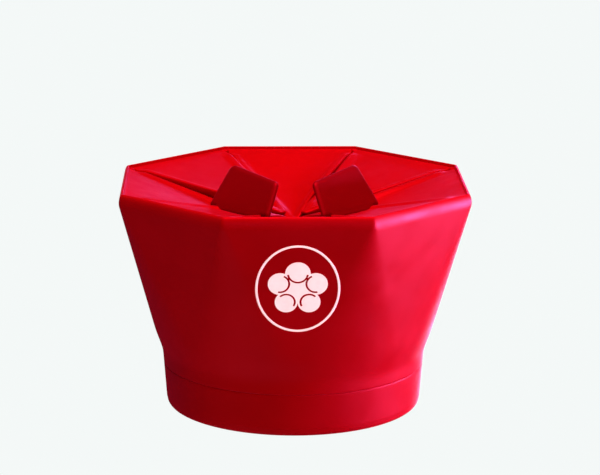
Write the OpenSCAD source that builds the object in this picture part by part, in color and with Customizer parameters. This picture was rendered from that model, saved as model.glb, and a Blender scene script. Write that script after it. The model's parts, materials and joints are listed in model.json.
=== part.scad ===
// Silicone popcorn maker: an eight-sided bowl on a round base, closed by eight folding flaps.
// Millimetres. +Z is up, the base stands on z = 0 and the badge looks along -Y.

/* [Bowl] */
// Distance from the axis to a corner of the rim
rim_radius = 110; // [100:1:135]
// Height of the rim above the table
rim_height = 133; // [105:0.5:160]
// Radius of the ring where the flat facets end
facet_radius = 81.5; // [79:0.5:92]
// Height of the ring where the flat facets end
facet_height = 45.5; // [38:0.5:56]
// Radius of the skirt at its upper edge
skirt_radius = 77; // [70:0.5:79]
// Height of the skirt's upper edge
skirt_height = 33; // [27:0.5:37]
// Thickness of the bowl's wall
wall = 2.4; // [1.8:0.1:3.2]

/* [Base] */
// Radius of the base at the table
foot_radius = 74.5; // [62:0.5:76]
// Height of the seam between base and bowl
seam_height = 25; // [18:0.5:31]
// Thickness of the base's side
base_wall = 3; // [2:0.1:5]
// Height of the bowl's floor above the table
floor_height = 4.5; // [3.5:0.1:8]
// Rounding at the outer edge of the base
foot_round = 3; // [1:0.1:3.5]
// Height of the lip that stands up inside the bowl
lip_height = 7; // [4:0.5:10]
// Thickness of that lip
lip_wall = 1.6; // [1:0.1:2.4]
// Width of the ring that the base stands on
foot_ring = 10; // [6:0.5:16]
// Depth of the hollow inside that ring
foot_hollow = 1.2; // [0.6:0.1:2]

/* [Rim and hinges] */
// Height of the rim band
band_height = 6.5; // [6:0.1:9]
// Thickness of the band outside the hinge beads
band_lip = 4; // [2:0.1:5.5]
// Radius of the bead that each flap turns on
bead_radius = 1.3; // [1:0.1:1.6]
// Gap between a bead and its seat
bead_gap = 0.1; // [0.04:0.01:0.1]
// Depth of the bead's axis below the rim
bead_depth = 3; // [2.4:0.1:3.6]
// Thickness of the neck between bead and flap
neck = 1.2; // [0.8:0.1:1.5]
// Length of the solid corner left at each end of a hinge
corner_land = 3.2; // [2:0.1:6]

/* [Flaps] */
// Thickness of a flap
flap_thickness = 2.2; // [1.6:0.1:3]
// Fall of the front, back and side flaps towards the middle, in degrees
flap_slope = 16.6; // [12:0.1:22]
// Fall of the four corner flaps, in degrees
petal_slope = 11.9; // [8:0.1:16]
// Slit between two neighbouring flaps
flap_slit = 0.6; // [0.4:0.1:1.5]
// Distance from the axis at which a flat flap would end
vent_radius = 6; // [4:0.5:12]
// How far a flap opens, in degrees
flap_travel = 105; // [90:1:105]

/* [Pull tabs] */
// Distance of a tab's root from the axis
tab_root = 44.2; // [40:0.2:54]
// Width of a tab at its root
tab_root_width = 48; // [40:1:58]
// Width of a tab at its free edge
tab_top_width = 40; // [34:1:44]
// Length of the side nearer the front
tab_front_side = 20; // [16:0.5:22]
// Length of the side further from the front
tab_rear_side = 25.5; // [20:0.5:27]
// Lean of a tab above level, in degrees
tab_lean = 56; // [50:1:60]
// Thickness of a tab
tab_thickness = 3.6; // [2.4:0.1:4.4]

/* [Badge] */
// Width of the ring
badge_width = 46.8; // [36:0.2:50]
// Height of the ring along the facet
badge_height = 53.4; // [40:0.2:58]
// Width of the ring's line
badge_line = 1.3; // [1:0.1:2.5]
// Height of the badge's middle above the table
badge_middle = 91; // [84:0.5:98]
// How far the badge stands proud
badge_relief = 0.3; // [0.2:0.1:0.6]
// Width of the popped kernel
kernel_width = 35; // [22:0.5:38]

/* [Hidden] */

sides = 8;
half_side = 180 / sides;
// Directions of the flaps, counted from +X
front = 270;
front_right = 315;
right = 0;
back_right = 45;
back = 90;
back_left = 135;
left = 180;
front_left = 225;

// Distance from the axis to a flat of the rim
rim_flat = rim_radius * cos(half_side);
band_bottom = rim_height - band_height;
band_bottom_flat = facet_flat(band_bottom);
// Lean of a facet away from upright
facet_lean = atan2(rim_flat - facet_radius, rim_height - facet_height);

// Radius of the hinge seats
seat_radius = bead_radius + bead_gap;
hinge_flat = rim_flat - band_lip - seat_radius;
hinge_z = rim_height - bead_depth;
// Material left on the open side of a seat
seat_land = 1.6;
// The band's inner face stands that far inside the hinge line
band_inner_flat = hinge_flat - seat_land;
// Half the angle that a neck needs in its seat, with some slack
neck_slack = 2;
neck_room = asin(neck / 2 / seat_radius) + neck_slack;
bead_half = hinge_flat * tan(half_side) - corner_land;
bead_end_gap = 0.3;
// A flap has its full thickness from here on, clear of the band's inner corner
flap_clear = 0.4;
flap_start = norm([seat_land, bead_depth]) + flap_clear;
flap_end = hinge_flat - vent_radius;

// Pull tabs turn on seats that stand on the flaps
tab_gap = 0.4;
tab_seat_height = flap_thickness / 2 + tab_gap + tab_thickness / 2;
tab_along = (hinge_flat - tab_root) / cos(petal_slope) - tab_seat_height * tan(petal_slope);
tab_seat_top = 1.5;
tab_seat_lip = 1.2;
tab_seat_inset = 0.3;
tab_seat_half = flap_half_width(tab_along + seat_land) - tab_seat_inset;
tab_bead_half = tab_seat_half - bead_end_gap;
// The plate starts clear of its seat, and comes down past the hinge line on both sides of it
tab_plate_gap = 0.2;
tab_plate_start = tab_seat_top + seat_radius + tab_plate_gap;
tab_ear_gap = 0.5;
tab_ear_drop = 0.5;
tab_corner = 4;
// A tab lies down to this angle above its flap
tab_flat = 2.2;
tab_travel_up = 20;

badge_sink = 0.15;
seam_gap = 0.1;
fine = 64;
coarse = 32;
// The facets start this far inside both edges of the skirt's top, so no corner meets an edge
ledge = 0.05;

function ring_radius(z) = foot_radius + (skirt_radius - foot_radius) * z / skirt_height;
function facet_flat(z) =
  facet_radius + (rim_flat - facet_radius) * (z - facet_height) / (rim_height - facet_height);
function flap_half_width(s) = (hinge_flat - s) * tan(half_side) - flap_slit / 2 / cos(half_side);
function arc(x, y, r, from, to, steps) =
  [for (i = [0:steps]) [x + r * cos(from + (to - from) * i / steps),
    y + r * sin(from + (to - from) * i / steps)]];
function polar(r, a) = [r * cos(a), r * sin(a)];

// A solid whose foot is a round ring and whose top is an octagon, with flat facets between
module ring_to_octagon(ring_r, ring_z, flat, top_z) {
  corner_r = flat / cos(half_side);
  ring = [for (i = [0:fine - 1]) concat(polar(ring_r, i * 360 / fine), [ring_z])];
  corners = [for (k = [0:sides - 1]) concat(polar(corner_r, half_side + k * 360 / sides), [top_z])];
  per_side = fine / sides;
  fans = [for (k = [0:sides - 1]) for (j = [0:per_side - 1])
    [fine + k, (k * per_side + j + 1) % fine, k * per_side + j]];
  facets = [for (k = [0:sides - 1])
    [fine + k, fine + (k + 1) % sides, ((k + 1) * per_side) % fine]];
  foot = [for (i = [0:fine - 1]) i];
  top = [for (k = [0:sides - 1]) fine + sides - 1 - k];
  polyhedron(points = concat(ring, corners), faces = concat(fans, facets, [foot, top]));
}

// A straight-sided octagon block
module octagon_block(flat, height) {
  rotate([0, 0, half_side])
    cylinder(r = flat / cos(half_side), h = height, $fn = sides);
}

// Puts a shape drawn with its hinge on Y and its body towards -X on one side of the rim
module on_side(direction) {
  rotate([0, 0, direction])
    translate([hinge_flat, 0, hinge_z])
      children();
}

// Puts a shape at the root of the tab on a flap that points the given way
module on_flap(direction) {
  on_side(direction)
    rotate([0, -petal_slope, 0])
      translate([-tab_along, 0, tab_seat_height])
        rotate([0, petal_slope, 0])
          children();
}

// The round seat of a bead along Y, open between two angles above the inward direction
module seat_cut(half, low, high) {
  reach = 4 * seat_radius;
  rotate([90, 0, 0])
    translate([0, 0, -half])
      linear_extrude(height = 2 * half)
        polygon([[0, 0], [-reach * cos(low), reach * sin(low)], [-2 * reach, 0],
          [-reach * cos(high), reach * sin(high)]]);
  translate([0, half, 0])
    rotate([90, 0, 0])
      cylinder(r = seat_radius, h = 2 * half, $fn = coarse);
}

// A bead along Y with the start of its neck
module bead(half, to) {
  translate([0, half, 0])
    rotate([90, 0, 0])
      cylinder(r = bead_radius, h = 2 * half, $fn = coarse);
  translate([-to, -half, -neck / 2])
    cube([to, 2 * half, neck]);
}

// The base: floor, foot ring and the lip that holds the bowl
module base_dish() {
  lip_foot = ring_radius(seam_height) - wall - seam_gap;
  lip_top = ring_radius(seam_height + lip_height) - wall - seam_gap;
  inner_foot = ring_radius(floor_height) - base_wall;
  inner_round = 4;
  outer = concat(arc(foot_radius - foot_round, foot_round, foot_round, -90, 0, 6),
    [[ring_radius(seam_height), seam_height], [lip_foot, seam_height],
      [lip_top, seam_height + lip_height], [lip_top - lip_wall, seam_height + lip_height],
      [lip_foot - lip_wall, seam_height - lip_wall]]);
  inner = arc(inner_foot - inner_round, floor_height + inner_round, inner_round, 0, -90, 6);
  under = foot_radius - foot_round - foot_ring;
  color("firebrick")
    rotate_extrude($fn = fine)
      polygon(concat(outer, inner, [[0, floor_height], [0, foot_hollow], [under, foot_hollow],
        [under, 0]]));
}

// The bowl: a round skirt that opens into eight flat facets
module bowl_wall() {
  seam = ring_radius(seam_height);
  color("crimson") {
    rotate_extrude($fn = fine)
      polygon([[seam, seam_height], [skirt_radius, skirt_height], [facet_radius, facet_height],
        [facet_radius - wall, facet_height], [skirt_radius - wall, skirt_height],
        [seam - wall, seam_height]]);
    difference() {
      ring_to_octagon(facet_radius - ledge, facet_height, band_bottom_flat, band_bottom);
      ring_to_octagon((facet_radius - wall + ledge) / cos(180 / fine), facet_height,
        band_bottom_flat - wall, band_bottom);
    }
  }
}

// The eight-sided rim band with a hinge seat along each side
module rim_band() {
  color("crimson")
    difference() {
      translate([0, 0, band_bottom])
        rotate([0, 0, half_side])
          cylinder(r1 = band_bottom_flat / cos(half_side), r2 = rim_radius, h = band_height,
            $fn = sides);
      translate([0, 0, band_bottom - 1])
        octagon_block(band_inner_flat, band_height + 2);
      for (k = [0:sides - 1])
        on_side(k * 360 / sides)
          seat_cut(bead_half + bead_end_gap, -flap_slope - neck_room - neck_slack,
            flap_travel - petal_slope + neck_room);
    }
}

// One flap with its bead, in the flap's own plane
module flap_plate() {
  start_half = flap_half_width(flap_start);
  end_half = flap_half_width(flap_end);
  bead(bead_half, flap_start);
  translate([0, 0, -flap_thickness / 2])
    linear_extrude(height = flap_thickness)
      polygon([[-flap_start, -start_half], [-flap_end, -end_half], [-flap_end, end_half],
        [-flap_start, start_half]]);
}

// A flap in the middle of a side
module side_flap(direction) {
  color("red")
    on_side(direction)
      rotate([0, -flap_slope, 0])
        flap_plate();
}

// A flap in a corner direction, which falls less
module corner_flap(direction) {
  color("red")
    on_side(direction)
      rotate([0, -petal_slope, 0])
        flap_plate();
}

// A corner flap with the raised seat of a pull tab
module tab_flap(direction) {
  seat_back = seat_radius + tab_seat_lip;
  color("red") {
    difference() {
      on_side(direction)
        rotate([0, -petal_slope, 0])
          union() {
            flap_plate();
            translate([-tab_along - seat_land, -tab_seat_half, 0])
              cube([seat_land + seat_back, 2 * tab_seat_half, tab_seat_height + tab_seat_top]);
          }
      on_flap(direction)
        rotate([0, -petal_slope, 0])
          seat_cut(tab_seat_half + 1, tab_flat - neck_room,
            tab_lean + petal_slope + tab_travel_up + neck_room);
    }
  }
}

// A pull tab; side is 1 or -1 and says which way along the hinge the front lies
module pull_tab(direction, side) {
  root = tab_root_width / 2;
  top = tab_top_width / 2;
  color("firebrick")
    on_flap(direction)
      rotate([0, tab_lean, 0]) {
        bead(tab_bead_half, tab_plate_start);
        translate([0, 0, -tab_thickness / 2])
          linear_extrude(height = tab_thickness)
            difference() {
              union() {
                polygon([[tab_ear_drop, -side * root], [-tab_rear_side + tab_corner, -side * top],
                  [-tab_rear_side, -side * (top - tab_corner)],
                  [-tab_front_side, side * (top - tab_corner)],
                  [-tab_front_side + tab_corner, side * top], [tab_ear_drop, side * root]]);
                translate([-tab_rear_side + tab_corner, -side * (top - tab_corner)])
                  circle(r = tab_corner, $fn = coarse);
                translate([-tab_front_side + tab_corner, side * (top - tab_corner)])
                  circle(r = tab_corner, $fn = coarse);
              }
              translate([-tab_plate_start, -tab_seat_half - tab_ear_gap])
                square([2 * tab_plate_start, 2 * (tab_seat_half + tab_ear_gap)]);
            }
      }
}

// Puts a flat drawing on the front facet, with +Y up along the facet
module on_front_facet(depth) {
  translate([0, -facet_flat(badge_middle), badge_middle])
    rotate([90 + facet_lean, 0, 0])
      translate([0, 0, -badge_sink])
        linear_extrude(height = badge_sink + depth)
          children();
}

function ellipse(width, height) =
  [for (i = [0:fine - 1]) [width / 2 * cos(i * 360 / fine), height / 2 * sin(i * 360 / fine)]];

// The badge's oval ring
module badge_ring() {
  color("mistyrose")
    on_front_facet(badge_relief)
      difference() {
        polygon(ellipse(badge_width, badge_height));
        polygon(ellipse(badge_width - 2 * badge_line, badge_height - 2 * badge_line));
      }
}

// One rounded lobe of the kernel; each is [across, up, radius] as shares of the kernel's width
function kernel_lobes() = [[0, 0.27, 0.2], [0.28, 0.09, 0.19], [-0.28, 0.09, 0.19],
  [0.18, -0.23, 0.18], [-0.18, -0.23, 0.18]];

// The badge's popped kernel: rounded lobes about a middle, each marked off by a curl
module badge_kernel() {
  curl = kernel_width * 0.03;
  color("mistyrose")
    on_front_facet(badge_relief)
      difference() {
        union() {
          circle(r = kernel_width * 0.24, $fn = coarse);
          for (lobe = kernel_lobes())
            translate([lobe[0], lobe[1]] * kernel_width)
              circle(r = lobe[2] * kernel_width, $fn = coarse);
        }
        for (lobe = kernel_lobes())
          translate([lobe[0], lobe[1]] * kernel_width)
            rotate(atan2(-lobe[1], -lobe[0]))
              intersection() {
                difference() {
                  circle(r = lobe[2] * kernel_width - curl, $fn = coarse);
                  circle(r = lobe[2] * kernel_width - 2 * curl, $fn = coarse);
                }
                translate([0, -lobe[2] * kernel_width * 0.8])
                  square([lobe[2], 1.6 * lobe[2]] * kernel_width);
              }
      }
}

base_dish();
bowl_wall();
rim_band();
side_flap(front);  // flap_front
tab_flap(front_right);  // flap_front_right
side_flap(right);  // flap_right
corner_flap(back_right);  // flap_back_right
side_flap(back);  // flap_back
corner_flap(back_left);  // flap_back_left
side_flap(left);  // flap_left
tab_flap(front_left);  // flap_front_left
pull_tab(front_left, 1);  // tab_left
pull_tab(front_right, -1);  // tab_right
badge_ring();
badge_kernel();
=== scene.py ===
"""Looks for the silicone popcorn maker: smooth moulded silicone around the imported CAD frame."""
import json
import math

import bpy
import numpy as np
from mathutils import Matrix, Vector


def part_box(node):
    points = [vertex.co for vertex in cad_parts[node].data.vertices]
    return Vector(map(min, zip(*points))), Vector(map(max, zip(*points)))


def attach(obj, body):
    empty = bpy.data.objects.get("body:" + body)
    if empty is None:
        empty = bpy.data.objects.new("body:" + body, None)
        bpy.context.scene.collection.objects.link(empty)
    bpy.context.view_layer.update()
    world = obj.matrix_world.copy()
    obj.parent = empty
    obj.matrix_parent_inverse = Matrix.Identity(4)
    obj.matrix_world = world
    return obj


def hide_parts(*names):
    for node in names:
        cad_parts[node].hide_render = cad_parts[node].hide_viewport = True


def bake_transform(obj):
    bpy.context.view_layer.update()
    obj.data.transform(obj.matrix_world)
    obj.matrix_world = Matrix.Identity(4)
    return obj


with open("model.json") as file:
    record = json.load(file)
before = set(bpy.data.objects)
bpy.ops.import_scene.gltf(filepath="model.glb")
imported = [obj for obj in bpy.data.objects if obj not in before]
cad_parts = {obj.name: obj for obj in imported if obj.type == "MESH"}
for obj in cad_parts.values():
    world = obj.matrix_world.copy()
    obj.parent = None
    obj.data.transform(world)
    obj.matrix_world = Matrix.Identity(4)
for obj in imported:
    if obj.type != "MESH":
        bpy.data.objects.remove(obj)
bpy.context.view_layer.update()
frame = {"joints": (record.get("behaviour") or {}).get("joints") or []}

MM = 0.001
SIDES = 8
HALF_SIDE = math.pi / SIDES
DIRECTIONS = {"right": 0, "back_right": 45, "back": 90, "back_left": 135, "left": 180,
              "front_left": 225, "front": 270, "front_right": 315}
JOINTS = {joint["name"]: joint for joint in frame["joints"]}

# ---------------------------------------------------------------- sizes read from the frame

ring_low, ring_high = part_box("badge_ring")
kernel_low, kernel_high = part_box("badge_kernel")
rim_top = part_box("rim_band")[1]

RIM_FLAT = rim_top[0]
RIM_Z = rim_top[2]
HINGE_FLAT = JOINTS["right_fold"]["pos_m"][0]
HINGE_Z = JOINTS["right_fold"]["pos_m"][2]
SEAM_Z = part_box("bowl_wall")[0][2]
LIP_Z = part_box("base_dish")[1][2]

# The bowl's profile, as the CAD has it: foot, waist, then the ring where the facets end
SKIRT_Z = 33 * MM
SKIRT_R = 77 * MM
FACET_Z = 45.5 * MM
FACET_R = 81.5 * MM
FOOT_R = 74.5 * MM
WALL = 2.4 * MM

# How rounded the profile is at the waist, and how sharp the edges between the facets get
WAIST_SOFT = 5 * MM
CORNER_ROUND = 1.8 * MM

# The short stretch beside each corner of the rim that isn't part of a fold, and how it blends in
CORNER_LAND = 1.8 * MM
LAND_BLEND = 0.7 * MM


def base_radius(z):
    """Radius of the round part below the waist at height z."""
    return FOOT_R + (SKIRT_R - FOOT_R) * z / SKIRT_Z


# ---------------------------------------------------------------- camera

def make_camera():
    """A long lens a little above the rim, slightly to the object's left."""
    distance = 1.4365
    height_angle = math.radians(14.69)
    side_angle = math.radians(-91.48)
    target = Vector((0, 0, 65.75 * MM))
    yaw, pitch, roll = math.radians(-0.15), math.radians(1.255), math.radians(0.2)
    away = Vector((math.cos(height_angle) * math.cos(side_angle),
                   math.cos(height_angle) * math.sin(side_angle), math.sin(height_angle)))
    data = bpy.data.cameras.new("camera")
    data.lens = 146.5
    data.sensor_width = 36
    data.clip_end = 100
    camera = bpy.data.objects.new("camera", data)
    turn = away.to_track_quat("Z", "Y").to_matrix().to_4x4()
    aim = (Matrix.Rotation(yaw, 4, "Y") @ Matrix.Rotation(pitch, 4, "X")
           @ Matrix.Rotation(roll, 4, "Z"))
    camera.matrix_world = Matrix.Translation(target + away * distance) @ turn @ aim
    bpy.context.scene.collection.objects.link(camera)
    bpy.context.scene.camera = camera


make_camera()


# ---------------------------------------------------------------- mesh helpers

def new_piece(name, points, faces, material, smooth=True):
    """A mesh object in the row frame with one material."""
    mesh = bpy.data.meshes.new(name)
    mesh.from_pydata([tuple(p) for p in points], [], faces)
    mesh.update()
    if smooth:
        mesh.polygons.foreach_set("use_smooth", [True] * len(mesh.polygons))
    mesh.materials.append(material)
    piece = bpy.data.objects.new(name, mesh)
    bpy.context.scene.collection.objects.link(piece)
    return piece


def grid_faces(rows, columns, wrap_rows=False, wrap_columns=False):
    """Quads of a rows by columns grid of points, closed in either direction if asked."""
    faces = []
    for i in range(rows if wrap_rows else rows - 1):
        for j in range(columns if wrap_columns else columns - 1):
            a = i * columns + j
            b = i * columns + (j + 1) % columns
            c = ((i + 1) % rows) * columns + (j + 1) % columns
            d = ((i + 1) % rows) * columns + j
            faces.append((a, b, c, d))
    return faces


def capped_faces(rows, columns):
    """Faces over rings of points, with a cap on the first and the last ring."""
    faces = grid_faces(rows, columns, wrap_columns=True)
    faces.append(tuple(range(columns - 1, -1, -1)))
    faces.append(tuple((rows - 1) * columns + i for i in range(columns)))
    return faces


def directions_at(degrees):
    """Outward, along the side and up, for the side of the bowl that faces that way."""
    turn = math.radians(degrees)
    out = Vector((math.cos(turn), math.sin(turn), 0))
    across = Vector((-math.sin(turn), math.cos(turn), 0))
    return out, across, Vector((0, 0, 1))


def smoothstep(low, high, x):
    """0 at low, 1 at high, smooth between. Works on numbers and arrays."""
    t = np.clip((np.asarray(x, float) - low) / (high - low), 0, 1)
    return t * t * (3 - 2 * t)


def octagon_radius(angle, flat, corner_r):
    """Distance from the axis to an octagon with rounded corners, in the direction of angle."""
    corner_r = min(corner_r, flat)
    centre = (flat - corner_r) / math.cos(HALF_SIDE)
    half_straight = (flat - corner_r) * math.tan(HALF_SIDE)
    turn = 2 * HALF_SIDE
    from_side = angle - turn * np.round(angle / turn)
    straight = flat / np.cos(from_side)
    from_corner = np.abs(from_side) - HALF_SIDE
    under = np.maximum(corner_r ** 2 - (centre * np.sin(from_corner)) ** 2, 0)
    round_part = centre * np.cos(from_corner) + np.sqrt(under)
    on_straight = np.abs(flat * np.tan(from_side)) <= half_straight + 1e-9
    return np.where(on_straight, straight, round_part)


# ---------------------------------------------------------------- the bowl's smooth skin

def soften(z, values, width):
    """Running average of values over a height of width, by a triangular window."""
    out = np.empty_like(values)
    for i, at in enumerate(z):
        weight = np.maximum(0, 1 - np.abs(z - at) / width)
        out[i] = np.sum(weight * values) / np.sum(weight)
    return out


class WallProfile:
    """Flat distance and corner radius of the wall's outer face against height."""

    def __init__(self):
        self.z = np.linspace(0, RIM_Z + 20 * MM, 1200)
        share = np.clip((self.z - FACET_Z) / (RIM_Z - FACET_Z), 0, None)
        waist = SKIRT_R + (FACET_R - SKIRT_R) * (self.z - SKIRT_Z) / (FACET_Z - SKIRT_Z)
        low = np.where(self.z < SKIRT_Z, base_radius(self.z), waist)
        flat = np.where(self.z < FACET_Z, low, FACET_R + (RIM_FLAT - FACET_R) * share)
        corner = np.where(self.z < FACET_Z, low, FACET_R * (1 - share))
        self.flat = soften(self.z, flat, WAIST_SOFT)
        self.corner = np.maximum(soften(self.z, corner, WAIST_SOFT), CORNER_ROUND)

    def at(self, z):
        """Flat distance and corner radius at height z."""
        return float(np.interp(z, self.z, self.flat)), float(np.interp(z, self.z, self.corner))


wall_profile = WallProfile()


# ---------------------------------------------------------------- materials

def link(tree, source, output, target, socket):
    """Joins a node's output to another node's input."""
    tree.links.new(source.outputs[output], target.inputs[socket])


def noise_node(tree, coordinates, scale, detail=2.0, roughness=0.5):
    """Solid noise in the object's own space."""
    node = tree.nodes.new("ShaderNodeTexNoise")
    node.inputs["Scale"].default_value = scale
    node.inputs["Detail"].default_value = detail
    node.inputs["Roughness"].default_value = roughness
    link(tree, coordinates, "Object", node, "Vector")
    return node


def ramp_node(tree, source, output, stops):
    """A colour ramp with (position, colour) stops, fed by source."""
    node = tree.nodes.new("ShaderNodeValToRGB")
    node.color_ramp.elements[0].position, node.color_ramp.elements[0].color = stops[0]
    node.color_ramp.elements[1].position, node.color_ramp.elements[1].color = stops[-1]
    for position, colour in stops[1:-1]:
        element = node.color_ramp.elements.new(position)
        element.color = colour
    link(tree, source, output, node, "Fac")
    return node


def bump_node(tree, source, output, strength, distance, before=None):
    """Bump from source's output, on top of the bump before."""
    node = tree.nodes.new("ShaderNodeBump")
    node.inputs["Strength"].default_value = strength
    node.inputs["Distance"].default_value = distance
    link(tree, source, output, node, "Height")
    if before is not None:
        link(tree, before, "Normal", node, "Normal")
    return node


def silicone(name, red, rough):
    """Satin moulded silicone: cloudy colour, uneven gloss, a fine matte grain and soft waves."""
    material = bpy.data.materials.new(name)
    material.use_nodes = True
    tree = material.node_tree
    shader = tree.nodes["Principled BSDF"]
    coordinates = tree.nodes.new("ShaderNodeTexCoord")
    clouds = noise_node(tree, coordinates, 22, 3)
    dark = (red * 0.92, 0.0, 0.0004, 1)
    light = (red * 1.06, 0.0003, 0.0016, 1)
    colour = ramp_node(tree, clouds, "Fac", [(0.3, dark), (0.7, light)])
    dust = noise_node(tree, coordinates, 900, 1)
    specks = ramp_node(tree, dust, "Fac", [(0.76, (0, 0, 0, 1)), (0.82, (0.05, 0.05, 0.05, 1))])
    mix = tree.nodes.new("ShaderNodeMixRGB")
    mix.inputs["Color2"].default_value = (red * 1.3, 0.03, 0.04, 1)
    link(tree, specks, "Color", mix, "Fac")
    link(tree, colour, "Color", mix, "Color1")
    link(tree, mix, "Color", shader, "Base Color")
    smudges = noise_node(tree, coordinates, 55, 4, 0.6)
    low = (rough - 0.05,) * 3 + (1,)
    high = (rough + 0.07,) * 3 + (1,)
    gloss = ramp_node(tree, smudges, "Fac", [(0.35, low), (0.65, high)])
    link(tree, gloss, "Color", shader, "Roughness")
    waves = noise_node(tree, coordinates, 45, 2)
    soft = bump_node(tree, waves, "Fac", 0.25, 0.0006)
    grain = noise_node(tree, coordinates, 2600, 2, 0.6)
    fine = bump_node(tree, grain, "Fac", 0.12, 0.00006, soft)
    link(tree, fine, "Normal", shader, "Normal")
    shader.inputs["Specular IOR Level"].default_value = 0.5
    shader.inputs["Specular Tint"].default_value = (1.0, 0.07, 0.3, 1)
    shader.inputs["Sheen Weight"].default_value = 0.15
    shader.inputs["Sheen Roughness"].default_value = 0.45
    shader.inputs["Sheen Tint"].default_value = (1.0, 0.04, 0.2, 1)
    shader.inputs["Subsurface Weight"].default_value = 0.12
    shader.inputs["Subsurface Radius"].default_value = (1.0, 0.03, 0.02)
    shader.inputs["Subsurface Scale"].default_value = 0.003
    return material


def ink_material():
    """Cream silicone ink, printed a little unevenly."""
    material = bpy.data.materials.new("badge_ink")
    material.use_nodes = True
    tree = material.node_tree
    shader = tree.nodes["Principled BSDF"]
    coordinates = tree.nodes.new("ShaderNodeTexCoord")
    mottle = noise_node(tree, coordinates, 260, 3)
    cream = [(0.3, (0.90, 0.86, 0.84, 1)), (0.7, (0.95, 0.93, 0.91, 1))]
    colour = ramp_node(tree, mottle, "Fac", cream)
    link(tree, colour, "Color", shader, "Base Color")
    grain = noise_node(tree, coordinates, 1800, 2)
    bump = bump_node(tree, grain, "Fac", 0.2, 0.00005)
    link(tree, bump, "Normal", shader, "Normal")
    gloss = ramp_node(tree, mottle, "Fac", [(0.3, (0.5, 0.5, 0.5, 1)), (0.7, (0.62, 0.62, 0.62, 1))])
    link(tree, gloss, "Color", shader, "Roughness")
    return material


SILICONE_BOWL = silicone("silicone_bowl", 0.23, 0.47)
SILICONE_BASE = silicone("silicone_base", 0.22, 0.47)
SILICONE_FLAP = silicone("silicone_flap", 0.26, 0.40)
# The tabs are the same red silicone as the flaps; this much darker red is painted shade for tab faces
# that turn away from the light
SILICONE_TAB_PAINTED_SHADE = silicone("silicone_tab", 0.105, 0.42)
BADGE_INK = ink_material()


# ---------------------------------------------------------------- bowl and rim in one skin

SKIN_AROUND = 640
RIM_BACK = RIM_FLAT - HINGE_FLAT
RIM_UP = RIM_Z - HINGE_Z
LEAN = math.atan2(RIM_FLAT - FACET_R, RIM_Z - FACET_Z)

# The rim's rounded edge: part of an ellipse that the leaning wall runs into smoothly. Its middle is
# (inward, up) from the fold's axis, and the corners between the facets get sharper round it.
BEAD_ACROSS = 2.3 * MM
BEAD_DOWN = 5.5 * MM
BEAD_SIDE = math.hypot(BEAD_ACROSS * math.cos(LEAN), BEAD_DOWN * math.sin(LEAN))
BEAD_MID = ((BEAD_SIDE + BEAD_DOWN * math.sin(LEAN)) / math.cos(LEAN) - RIM_BACK,
            RIM_UP - BEAD_DOWN)
BEAD_START = math.atan2(BEAD_DOWN * math.tan(LEAN), BEAD_ACROSS)
BEAD_STEPS = 16
BEAD_CORNER = 0.9 * MM
SLOPE_CORNER = 0.8 * MM
SEAT_CORNER = 0.7 * MM
INNER_CORNER = 1.2 * MM

# The wall's lower edge at the seam, rounded: (inset, up)
SEAM_EDGE = [(0.32 * MM, 0.02 * MM), (0.12 * MM, 0.12 * MM), (0.03 * MM, 0.3 * MM)]

# The rim's inner slope, from its top down to the fold: shares across and down
BEAD_SLOPE = [(0.12, 0.015), (0.25, 0.07), (0.4, 0.19), (0.55, 0.36), (0.7, 0.56), (0.85, 0.78),
              (1.0, 1.0)]
SLOPE_END = (-0.68 * MM, 1.25 * MM)

# Where the flaps are moulded on: a groove and a ledge under the fold, as (inward, up) from the
# fold's axis in mm, and the same points at a corner, where the rim stays solid
FOLD_SEAT = [((-0.66, 1.2), (-0.4, 1.5)), ((-0.68, 0.8), (-0.1, 1.45)), ((-0.7, 0.5), (0.2, 1.4)),
             ((-0.66, 0.1), (0.5, 1.35)), ((-0.35, -0.6), (0.95, 1.3)), ((0.3, -1.1), (1.35, 1.0)),
             ((1.0, -1.4), (1.55, 0.6)), ((1.5, -1.8), (1.6, 0.0)), ((1.6, -2.4), (1.62, -1.0)),
             ((1.5, -3.2), (1.5, -3.2)), ((0.7, -4.2), (0.7, -4.2)), ((-0.6, -5.4), (-0.6, -5.4))]


def wall_rows():
    """The outer face from the seam up to the rim's bead."""
    rows = []
    for inset, up in SEAM_EDGE:
        flat, corner = wall_profile.at(SEAM_Z + up)
        rows.append((flat - inset, corner - inset, SEAM_Z + up) * 2)
    bead_z = HINGE_Z + BEAD_MID[1] - BEAD_DOWN * math.sin(BEAD_START)
    heights = list(np.arange(SEAM_Z + 0.6 * MM, FACET_Z + 14 * MM, 1.0 * MM))
    heights += list(np.linspace(FACET_Z + 15 * MM, bead_z, 44))
    for z in heights:
        flat, corner = wall_profile.at(z)
        rows.append((flat, corner, z) * 2)
    return rows


def rim_rows():
    """The rim's rounded edge and the slope inside it, down to the fold."""
    rows = []
    for i in range(1, BEAD_STEPS + 1):
        angle = math.pi + BEAD_START - (math.pi / 2 + BEAD_START) * i / BEAD_STEPS
        u = BEAD_MID[0] + BEAD_ACROSS * math.cos(angle)
        z = HINGE_Z + BEAD_MID[1] + BEAD_DOWN * math.sin(angle)
        corner = max(wall_profile.at(z)[1] - (u + RIM_BACK) * 0.6, BEAD_CORNER)
        rows.append((HINGE_FLAT - u, corner, z) * 2)
    for across, down in BEAD_SLOPE:
        u = BEAD_MID[0] + (SLOPE_END[0] - BEAD_MID[0]) * across
        z = RIM_Z + (HINGE_Z + SLOPE_END[1] - RIM_Z) * down
        rows.append((HINGE_FLAT - u, SLOPE_CORNER, z) * 2)
    return rows


def inner_rows():
    """The seat under the folds, then the bowl's inner face down to the seam."""
    rows = []
    for (u, v), (corner_u, corner_v) in FOLD_SEAT:
        rows.append((HINGE_FLAT - u * MM, SEAT_CORNER, HINGE_Z + v * MM,
                     HINGE_FLAT - corner_u * MM, SEAT_CORNER, HINGE_Z + corner_v * MM))
    for z in np.linspace(HINGE_Z - 7 * MM, SEAM_Z + 0.02 * MM, 40):
        flat, corner = wall_profile.at(z)
        rows.append((flat - WALL, max(corner - WALL, INNER_CORNER), z) * 2)
    return rows


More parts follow.
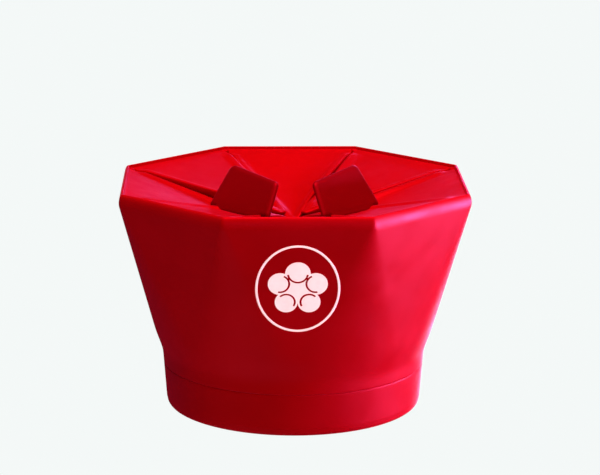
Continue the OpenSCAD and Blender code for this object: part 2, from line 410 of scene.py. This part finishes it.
def make_skin():
    """Wall and rim in one closed skin, each row of points taken at one height or place on the rim.

    A row is (flat, corner radius, height) twice: along a side of the rim, and at its corner.
    """
    angles = np.arange(SKIN_AROUND) * 2 * math.pi / SKIN_AROUND
    from_side = angles - 2 * HALF_SIDE * np.round(angles / (2 * HALF_SIDE))
    to_corner = HINGE_FLAT * math.tan(HALF_SIDE) - np.abs(HINGE_FLAT * np.tan(from_side))
    land = smoothstep(CORNER_LAND + LAND_BLEND, CORNER_LAND - LAND_BLEND, to_corner)
    rows = wall_rows() + rim_rows() + inner_rows()
    points = []
    for flat, corner, z, land_flat, land_corner, land_z in rows:
        radius = octagon_radius(angles, flat, corner) * (1 - land)
        radius += octagon_radius(angles, land_flat, land_corner) * land
        height = z * (1 - land) + land_z * land
        points += list(zip(radius * np.cos(angles), radius * np.sin(angles), height))
    faces = grid_faces(len(rows), SKIN_AROUND, wrap_rows=True, wrap_columns=True)
    skin = new_piece("bowl_skin", points, faces, SILICONE_BOWL)
    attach(skin, "bowl")
    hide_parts("bowl_wall", "rim_band")


# ---------------------------------------------------------------- base

BASE_AROUND = 256
FOOT_ROUND = 3 * MM
FOOT_WIDTH = 10 * MM
FOOT_INSIDE_ROUND = 0.4 * MM
HOLLOW = 1.2 * MM
HOLLOW_ROUND = 0.8 * MM
FLOOR_Z = 4.5 * MM
FLOOR_ROUND = 4 * MM
BASE_WALL = 3 * MM
LIP_WALL = 1.6 * MM
LIP_ROUND = 0.6 * MM
LIP_FIT = 0.1 * MM


def arc_points(x, y, r, start, end, steps):
    """Points on an arc between two angles in degrees."""
    return [(x + r * math.cos(math.radians(start + (end - start) * i / steps)),
             y + r * math.sin(math.radians(start + (end - start) * i / steps)))
            for i in range(steps + 1)]


def base_profile():
    """Outline (radius, height) from the middle of the underside round to the middle of the floor."""
    foot_in = FOOT_R - FOOT_ROUND - FOOT_WIDTH
    seam_r = base_radius(SEAM_Z)
    lip_r = seam_r - WALL - LIP_FIT
    lip_top = base_radius(LIP_Z) - WALL - LIP_FIT
    inner_r = base_radius(FLOOR_Z) - BASE_WALL
    profile = [(foot_in * share, HOLLOW) for share in (0.02, 0.3, 0.6, 0.9)]
    profile += arc_points(foot_in - HOLLOW_ROUND, HOLLOW - HOLLOW_ROUND, HOLLOW_ROUND, 90, 0, 4)
    profile += arc_points(foot_in + FOOT_INSIDE_ROUND, FOOT_INSIDE_ROUND, FOOT_INSIDE_ROUND, 180, 270, 4)
    profile += arc_points(FOOT_R - FOOT_ROUND, FOOT_ROUND, FOOT_ROUND, -90, 0, 12)
    side = np.linspace(FOOT_ROUND + 1.2 * MM, SEAM_Z - 0.6 * MM, 16)
    profile += [(base_radius(z), z) for z in side]
    profile += [(seam_r - 0.1 * MM, SEAM_Z - 0.15 * MM), (seam_r - 0.32 * MM, SEAM_Z - 0.02 * MM)]
    profile.append((lip_r, SEAM_Z))
    profile += arc_points(lip_top - LIP_ROUND, LIP_Z - LIP_ROUND, LIP_ROUND, 0, 90, 4)
    profile += arc_points(lip_top - LIP_WALL + LIP_ROUND, LIP_Z - LIP_ROUND, LIP_ROUND, 90, 180, 4)
    profile += [(lip_r - LIP_WALL, SEAM_Z), (seam_r - BASE_WALL - LIP_WALL, SEAM_Z - 2 * MM)]
    profile += arc_points(inner_r - FLOOR_ROUND, FLOOR_Z + FLOOR_ROUND, FLOOR_ROUND, 0, -90, 8)
    profile += [(inner_r * share, FLOOR_Z) for share in (0.8, 0.5, 0.2, 0.02)]
    return profile


def make_base():
    """The round base: foot ring, rounded edge, side, lip inside the bowl, and a dished floor."""
    profile = base_profile()
    angles = np.arange(BASE_AROUND) * 2 * math.pi / BASE_AROUND
    points = [(r * math.cos(a), r * math.sin(a), z) for r, z in profile for a in angles]
    base = new_piece("base_cup", points, capped_faces(len(profile), BASE_AROUND), SILICONE_BASE)
    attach(base, "bowl")
    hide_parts("base_dish")


# ---------------------------------------------------------------- flaps

FLAP_HALF_T = 1.1 * MM
FLAP_END = HINGE_FLAT - 6 * MM
SLIT = 0.6 * MM
SAG = 0.7 * MM

# The thin fold at a flap's root, which thickens into the flap between NECK_END and FULL_FROM
NECK_HALF_T = 0.6 * MM
NECK_END = 1.6 * MM
FULL_FROM = 3.8 * MM
ROOT_START = -1.7 * MM
ROOT_CROWN = 0.45 * MM

# The raised line along a flap's side edges, and where it fades out at both ends
EDGE_RISE = 1.2 * MM
EDGE_WIDTH = 3.4 * MM
RISE_FROM = 3 * MM
RISE_FULL = 9 * MM
RISE_TAPER = 14 * MM

PETALS = {"back_right", "back_left", "front_left", "front_right"}
PETAL_SLOPE = math.radians(11.9)
SIDE_SLOPE = math.radians(16.6)

# How much higher a petal's edge stands than the side flap's beside it, per distance from the fold
STEP = math.cos(PETAL_SLOPE) * math.tan(SIDE_SLOPE) - math.sin(PETAL_SLOPE)

# A petal's edges hang by this share of the step, and taper off towards its tip
HANG_SHARE = 0.85
HANG_FROM = 6 * MM
HANG_TAPER = 0.2
HUNG_PETALS = PETALS - {"back_right"}

# How the rear flaps lie against each other: on one side (+1 or -1 along the fold) an edge stands
# up or hangs down by this share of the step between the two flaps
EDGE_LIE = {"right": {1: 0.5}, "back_right": {-1: -0.45, 1: -0.35}, "back": {-1: 0.9}}
LIE_FROM = 3 * MM
LIE_CURVE = 1.6

# Places across a flap, from one side edge (-1) to the other (1), closer together near the edges
ACROSS = np.concatenate([np.linspace(-1, -0.55, 10), np.linspace(-0.5, 0.5, 11),
                         np.linspace(0.55, 1, 10)])


def flap_slope(name):
    """The angle a flap falls at; the four petals in the corners fall less."""
    return PETAL_SLOPE if name in PETALS else SIDE_SLOPE


def flap_half_width(s):
    """Half the flap's width at s: the wedge between two slits, wider at the fold itself."""
    wedge = (HINGE_FLAT - s) * math.tan(HALF_SIDE) - SLIT / 2 / math.cos(HALF_SIDE)
    root = HINGE_FLAT * math.tan(HALF_SIDE) - CORNER_LAND
    grown = float(smoothstep(NECK_END, FULL_FROM, s))
    return root + (wedge - root) * grown if s < FULL_FROM else wedge


def edge_drop(s, name):
    """How far a petal's side edges hang below it, to meet the lower flap beside it."""
    if name not in HUNG_PETALS:
        return 0
    hang = min(HANG_SHARE * STEP * (s - HANG_FROM), HANG_TAPER * (FLAP_END - 2 * MM - s))
    return max(hang, 0)


def edge_lie(s, name):
    """How far each point across the flap stands above its plane at s."""
    fade = float(smoothstep(FLAP_END + 6 * MM, 0.55 * FLAP_END, s))
    away = STEP * max(s - LIE_FROM, 0) * fade
    lift = np.zeros_like(ACROSS)
    for side, share in EDGE_LIE.get(name, {}).items():
        lift += share * away * np.clip(side * ACROSS, 0, None) ** LIE_CURVE
    return lift


def flap_section(s, name):
    """Outline of the flap across its width at s: (across, up) pairs, edges rounded and raised."""
    half_t = NECK_HALF_T + (FLAP_HALF_T - NECK_HALF_T) * float(smoothstep(NECK_END, FULL_FROM, s))
    crown = ROOT_CROWN * float(smoothstep(FULL_FROM, NECK_END, s))
    tip = max(0.0, (s - (FLAP_END - FLAP_HALF_T)) / FLAP_HALF_T)
    shrink = math.sqrt(max(1 - tip * tip, 0.02))
    half_t *= shrink
    flat = flap_half_width(s) - FLAP_HALF_T * (1 - shrink) - half_t
    fade = float(smoothstep(RISE_FROM, RISE_FULL, s) * smoothstep(FLAP_END, FLAP_END - RISE_TAPER, s))
    rise = EDGE_RISE * fade
    sag = -SAG * math.sin(math.pi * min(max(s / FLAP_END, 0), 1))
    near_edge = np.maximum(flat * (1 - np.abs(ACROSS)), 0)
    lifted = rise * smoothstep(1.6 * EDGE_WIDTH, 0.5 * EDGE_WIDTH, near_edge)
    hung = edge_drop(s, name) * smoothstep(0.9 * EDGE_WIDTH, 0.5 * EDGE_WIDTH, near_edge)
    plane = sag * (1 - ACROSS ** 2) + edge_lie(s, name)
    top = list(zip(flat * ACROSS, plane + half_t + crown + lifted))
    bottom = list(zip(flat * ACROSS, plane - half_t - hung))[::-1]
    middle = (rise + crown - hung[0]) / 2
    reach = half_t + (rise + crown + hung[0]) / 2
    edge = [(flat + half_t * math.cos(a) ** 0.6, middle + reach * math.sin(a))
            for a in np.radians(np.linspace(75, -75, 11))]
    right = [(x, y + plane[-1]) for x, y in edge]
    left = [(-x, y + plane[0]) for x, y in edge[::-1]]
    return top + right + bottom + left


def flap_stations():
    """Distances from the fold at which a flap's outline is taken."""
    stations = list(np.linspace(ROOT_START, FULL_FROM + 1 * MM, 18))
    stations += list(np.linspace(FULL_FROM + 2.5 * MM, FLAP_END - 2 * MM, 46))
    stations += list(FLAP_END - FLAP_HALF_T + FLAP_HALF_T * np.sin(np.linspace(-0.8, 1.53, 9)))
    return stations


def make_flap(name, direction):
    """One flap with the fold it is moulded on."""
    slope = flap_slope(name)
    out, across, up = directions_at(direction)
    along = (-out) * math.cos(slope) - up * math.sin(slope)
    normal = up * math.cos(slope) - out * math.sin(slope)
    hinge = out * HINGE_FLAT + up * HINGE_Z
    stations = flap_stations()
    points = [hinge + along * s + across * t + normal * n
              for s in stations for t, n in flap_section(s, name)]
    faces = capped_faces(len(stations), len(points) // len(stations))
    flap = new_piece("flap_" + name + "_silicone", points, faces, SILICONE_FLAP)
    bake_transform(flap)
    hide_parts("flap_" + name)


# ---------------------------------------------------------------- pull tabs

TAB_LEAN = math.radians(56)
TAB_HALF_T = 1.8 * MM
TAB_ROOT_HALF = 24 * MM
TAB_TOP_HALF = 20 * MM
TAB_FRONT_SIDE = 20 * MM
TAB_REAR_SIDE = 25.5 * MM
TAB_START = -2.2 * MM
TAB_ROOT_CORNER = 2 * MM
TAB_CORNER = 4 * MM
TAB_EDGE = 3.2 * MM

# The thick root below the plate, where the tab bends
NECK_START = -4 * MM
NECK_TOP = 7 * MM
NECK_HALF = 18 * MM
NECK_TAB_HALF_T = 1.7 * MM
NECK_EDGE = 1.2 * MM
TAB_VOXEL = 0.42 * MM


def rounded_outline(corners, radii, steps):
    """A polygon with its corners rounded, as a list of 2D points."""
    outline = []
    count = len(corners)
    for i, (corner, radius) in enumerate(zip(corners, radii)):
        here = Vector(corner)
        before = (Vector(corners[i - 1]) - here).normalized()
        after = (Vector(corners[(i + 1) % count]) - here).normalized()
        half = before.angle(after) / 2
        reach = radius / math.tan(half)
        middle = here + (before + after).normalized() * radius / math.sin(half)
        start = here + before * reach - middle
        end = here + after * reach - middle
        for k in range(steps + 1):
            share = k / steps
            arm = start * (1 - share) + end * share
            outline.append(middle + arm.normalized() * radius)
    return outline


def pillow(outline, half_t, edge):
    """A closed slab on an outline, its edge rounded over the width edge: points and faces."""
    count = len(outline)
    centre = sum((Vector(p) for p in outline), Vector((0, 0))) / count
    insets = [edge * (1 - math.cos(math.radians(a))) for a in (0, 15, 30, 45, 60, 75, 90)]
    rings = []
    for inset in insets:
        ring = []
        for i, p in enumerate(outline):
            side = (Vector(outline[(i + 1) % count]) - Vector(outline[i - 1])).normalized()
            inward = Vector((-side.y, side.x))
            if inward.dot(centre - Vector(p)) < 0:
                inward = -inward
            ring.append(Vector(p) + inward * inset)
        height = half_t * math.sqrt(max(1 - (1 - inset / edge) ** 2, 0))
        rings.append((ring, height))
    points = []
    for ring, height in rings[::-1]:
        points += [(p.x, p.y, height) for p in ring]
    for ring, height in rings[1:]:
        points += [(p.x, p.y, -height) for p in ring]
    rows = 2 * len(rings) - 1
    faces = grid_faces(rows, count, wrap_columns=True)
    faces.append(tuple(range(count)))
    faces.append(tuple((rows - 1) * count + i for i in range(count - 1, -1, -1)))
    return points, faces


def apply_modifiers(piece):
    """Replaces a piece's mesh by what its modifiers give."""
    bpy.context.view_layer.update()
    graph = bpy.context.evaluated_depsgraph_get()
    mesh = bpy.data.meshes.new_from_object(piece.evaluated_get(graph))
    piece.modifiers.clear()
    old = piece.data
    piece.data = mesh
    bpy.data.meshes.remove(old)


def tab_slabs():
    """The plate and its root, lying flat: x away from the bend, y towards the front side."""
    plate = [(TAB_START, -TAB_ROOT_HALF), (TAB_REAR_SIDE, -TAB_TOP_HALF),
             (TAB_FRONT_SIDE, TAB_TOP_HALF), (TAB_START, TAB_ROOT_HALF)]
    plate_radii = (TAB_ROOT_CORNER, TAB_CORNER, TAB_CORNER, TAB_ROOT_CORNER)
    points, faces = pillow(rounded_outline(plate, plate_radii, 10), TAB_HALF_T, TAB_EDGE)
    neck = [(NECK_START, -NECK_HALF), (NECK_TOP, -NECK_HALF), (NECK_TOP, NECK_HALF),
            (NECK_START, NECK_HALF)]
    neck_radii = (1 * MM, 3 * MM, 3 * MM, 1 * MM)
    more, more_faces = pillow(rounded_outline(neck, neck_radii, 6), NECK_TAB_HALF_T, NECK_EDGE)
    faces += [tuple(i + len(points) for i in face) for face in more_faces]
    return points + more, faces


def melt_together(piece):
    """Joins a piece's overlapping slabs into one skin with soft inner corners."""
    remesh = piece.modifiers.new("remesh", "REMESH")
    remesh.mode = "VOXEL"
    remesh.voxel_size = TAB_VOXEL
    remesh.use_smooth_shade = True
    relax = piece.modifiers.new("relax", "SMOOTH")
    relax.factor = 0.5
    relax.iterations = 6
    apply_modifiers(piece)


def make_tab(name, direction, front_side):
    """A pull tab on its thick root, on the flap below it."""
    pin = Vector(JOINTS[name + "_flex"]["pos_m"])
    out, across, up = directions_at(direction)
    along = (-out) * math.cos(TAB_LEAN) + up * math.sin(TAB_LEAN)
    normal = up * math.cos(TAB_LEAN) + out * math.sin(TAB_LEAN)
    points, faces = tab_slabs()
    placed = [pin + along * x + across * front_side * y + normal * z for x, y, z in points]
    tab = new_piece(name + "_silicone", placed, faces, SILICONE_TAB_PAINTED_SHADE)
    melt_together(tab)
    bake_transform(tab)
    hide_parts(name)


# ---------------------------------------------------------------- badge

INK_T = 0.28 * MM
INK_SINK = 0.12 * MM
BADGE_Z = (ring_low[2] + ring_high[2]) / 2
BADGE_W = ring_high[0] - ring_low[0]
BADGE_H = (ring_high[2] - ring_low[2]) / math.cos(LEAN)
BADGE_LINE = 1.3 * MM
RING_AROUND = 256

# The popped kernel: a middle with five lobes (x, y, radius), each with a curl, a thin gap along its
# inner edge. The drawing has units of its own, and KERNEL_W is the size of one on the wall.
KERNEL_MIDDLE = 0.24
KERNEL_LOBES = [(0, 0.27, 0.2), (0.28, 0.09, 0.19), (-0.28, 0.09, 0.19), (0.18, -0.23, 0.18),
                (-0.18, -0.23, 0.18)]
CURL_HALF = 0.016
CURL_INSET = 0.045
CURL_FACING = 0.1
KERNEL_SPAN = 2 * max(x + radius for x, y, radius in KERNEL_LOBES)
KERNEL_W = (kernel_high[0] - kernel_low[0]) / KERNEL_SPAN
KERNEL_REACH = 0.56
KERNEL_STEPS = 170


def on_wall(x, y, lift):
    """The point over the front facet at x across and y up the facet, lift proud of the skin."""
    z = BADGE_Z + y * math.cos(LEAN)
    flat, corner = wall_profile.at(z)
    straight = (flat - corner) * math.tan(HALF_SIDE)
    beyond = max(abs(x) - straight, 0)
    depth = corner - math.sqrt(max(corner ** 2 - beyond ** 2, 0))
    return Vector((x, -(flat - depth), z)) + Vector((0, -math.cos(LEAN), -math.sin(LEAN))) * lift


def make_badge_ring():
    """The badge's oval line, a flat-topped bead of ink."""
    half_line = BADGE_LINE / 2
    section = [(-half_line, -INK_SINK), (-half_line, 0.1 * MM), (-half_line * 0.8, INK_T * 0.85),
               (-half_line * 0.4, INK_T), (half_line * 0.4, INK_T), (half_line * 0.8, INK_T * 0.85),
               (half_line, 0.1 * MM), (half_line, -INK_SINK)]
    points = []
    for inset, lift in section:
        half_w = BADGE_W / 2 - half_line + inset
        half_h = BADGE_H / 2 - half_line + inset
        for i in range(RING_AROUND):
            angle = 2 * math.pi * i / RING_AROUND
            points.append(on_wall(half_w * math.cos(angle), half_h * math.sin(angle), lift))
    faces = grid_faces(len(section), RING_AROUND, wrap_rows=True, wrap_columns=True)
    ring = new_piece("badge_ring_ink", points, faces, BADGE_INK)
    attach(ring, "bowl")
    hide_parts("badge_ring")


def kernel_depth(x, y):
    """How deep (x, y) lies inside the kernel's drawing; below 0 is outside it or in a gap."""
    inside = KERNEL_MIDDLE - math.hypot(x, y)
    for lobe_x, lobe_y, lobe_r in KERNEL_LOBES:
        inside = max(inside, lobe_r - math.hypot(x - lobe_x, y - lobe_y))
    for lobe_x, lobe_y, lobe_r in KERNEL_LOBES:
        away = math.hypot(x - lobe_x, y - lobe_y)
        size = math.hypot(lobe_x, lobe_y)
        facing = -((x - lobe_x) * lobe_x + (y - lobe_y) * lobe_y) / max(size * away, 1e-6)
        curl = CURL_HALF - abs(away - (lobe_r - CURL_INSET))
        end = (facing - CURL_FACING) * lobe_r
        inside = min(inside, -min(curl, end))
    return inside


def kernel_layer():
    """The kernel's drawing as points and faces on a fine grid, cut along its outline."""
    grid = np.linspace(-KERNEL_REACH, KERNEL_REACH, KERNEL_STEPS + 1)
    numbers = range(KERNEL_STEPS + 1)
    depth = {(i, j): kernel_depth(grid[i], grid[j]) for i in numbers for j in numbers}
    places, index, faces = [], {}, []

    def vertex(a, b):
        """The point at corner a, or where the outline crosses the edge from a to b."""
        key = (min(a, b), max(a, b))
        if key not in index:
            share = 0 if a == b else depth[a] / (depth[a] - depth[b])
            index[key] = len(places)
            places.append([grid[m] + (grid[n] - grid[m]) * share for m, n in zip(a, b)])
        return index[key]

    for j in range(KERNEL_STEPS):
        for i in range(KERNEL_STEPS):
            cell = [(i, j), (i + 1, j), (i + 1, j + 1), (i, j + 1)]
            face = []
            for a, b in zip(cell, cell[1:] + cell[:1]):
                if depth[a] > 0:
                    face.append(vertex(a, a))
                if (depth[a] > 0) != (depth[b] > 0):
                    face.append(vertex(a, b))
            if len(face) > 2:
                faces.append(tuple(face))
    return places, faces


def make_badge_kernel():
    """The popped kernel, a thin layer of ink with square sides."""
    places, faces = kernel_layer()
    count = len(places)
    points = [on_wall(x * KERNEL_W, y * KERNEL_W, lift)
              for lift in (INK_T, -INK_SINK) for x, y in places]
    edges = dict.fromkeys(edge for face in faces for edge in zip(face, face[1:] + face[:1]))
    rim = [(a, b) for a, b in edges if (b, a) not in edges]
    under = [tuple(i + count for i in face[::-1]) for face in faces]
    walls = [(b, a, a + count, b + count) for a, b in rim]
    kernel = new_piece("badge_kernel_ink", points, faces + under + walls, BADGE_INK, smooth=False)
    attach(kernel, "bowl")
    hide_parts("badge_kernel")


# ---------------------------------------------------------------- stage and light

STAGE_R = 10.0
STAGE_AROUND = 48


def flat_white():
    """The pale tone of floor and backdrop, the same from everywhere."""
    material = bpy.data.materials.new("studio_white")
    material.use_nodes = True
    tree = material.node_tree
    tree.nodes.remove(tree.nodes["Principled BSDF"])
    glow = tree.nodes.new("ShaderNodeEmission")
    glow.inputs["Color"].default_value = (0.905, 0.940, 0.932, 1)
    glow.inputs["Strength"].default_value = 1.0
    link(tree, glow, 0, tree.nodes["Material Output"], "Surface")
    return material


def make_stage():
    """A plain pale floor under a dome of the same tone; neither lights nor shades the part."""
    white = flat_white()
    angles = [2 * math.pi * i / STAGE_AROUND for i in range(STAGE_AROUND)]
    rim = [(STAGE_R * math.cos(a), STAGE_R * math.sin(a)) for a in angles]
    points = [(x, y, 0) for x, y in rim]
    floor = new_piece("floor", points, [tuple(range(STAGE_AROUND))], white, smooth=False)
    rings = [(math.cos(math.radians(a)), math.sin(math.radians(a))) for a in range(0, 85, 6)]
    points = [(x * c, y * c, STAGE_R * s) for c, s in rings for x, y in rim]
    faces = grid_faces(len(rings), STAGE_AROUND, wrap_columns=True)
    faces.append(tuple((len(rings) - 1) * STAGE_AROUND + i for i in range(STAGE_AROUND)))
    dome = new_piece("backdrop", points, faces, white)
    for item in (floor, dome):
        item.visible_diffuse = False
        item.visible_glossy = False
        item.visible_shadow = False


def area_light(name, place, aim, size, power, colour, shine=True):
    """A rectangular light at place, facing aim; without shine it gives no reflections."""
    data = bpy.data.lights.new(name, "AREA")
    data.shape = "RECTANGLE"
    data.size, data.size_y = size
    data.energy = power
    data.color = colour
    light = bpy.data.objects.new(name, data)
    light.location = place
    light.rotation_euler = (Vector(aim) - Vector(place)).to_track_quat("-Z", "Y").to_euler()
    light.visible_camera = False
    light.visible_glossy = shine
    bpy.context.scene.collection.objects.link(light)


def make_lights():
    """A strip at the right, soft light from above and behind, fills in front and below, dim world."""
    body = (0, 0, RIM_Z * 0.5)
    rim = (0, 0, RIM_Z)
    area_light("low_strip", (0.6, 0.0, 0.065), body, (0.5, 0.12), 13, (1.0, 0.26, 0.64))
    area_light("top_softbox", (0.1, -0.15, 1.3), rim, (0.9, 0.9), 46, (1.0, 0.03, 0.06))
    area_light("back_softbox", (0.4, 1.3, 0.42), rim, (0.5, 0.4), 3.9, (1.0, 0.2, 0.75))
    area_light("horizon_strip", (0.0, 1.3, 0.1), rim, (1.2, 0.15), 1.6, (1.0, 0.32, 0.6))
    area_light("front_fill", (0.25, -1.3, 0.3), body, (0.8, 0.5), 14.5, (0.96, 0.98, 0.96),
               shine=False)
    area_light("left_bounce", (-0.48, -0.36, -1.15), body, (1.0, 0.9), 14.5, (1.0, 0.2, 0.25),
               shine=False)
    area_light("back_bounce", (0.4, 0.9, -0.3), body, (0.3, 0.3), 2.0, (0.75, 0.55, 1.0))
    world = bpy.data.worlds.new("studio")
    world.use_nodes = True
    background = world.node_tree.nodes["Background"]
    background.inputs["Color"].default_value = (1.0, 0.1, 0.15, 1)
    background.inputs["Strength"].default_value = 0.09
    bpy.context.scene.world = world
    bpy.context.scene.view_settings.view_transform = "Standard"


make_skin()
make_base()
for flap_name, flap_direction in DIRECTIONS.items():
    make_flap(flap_name, flap_direction)
make_tab("tab_left", DIRECTIONS["front_left"], 1)
make_tab("tab_right", DIRECTIONS["front_right"], -1)
make_badge_ring()
make_badge_kernel()
make_stage()
make_lights()
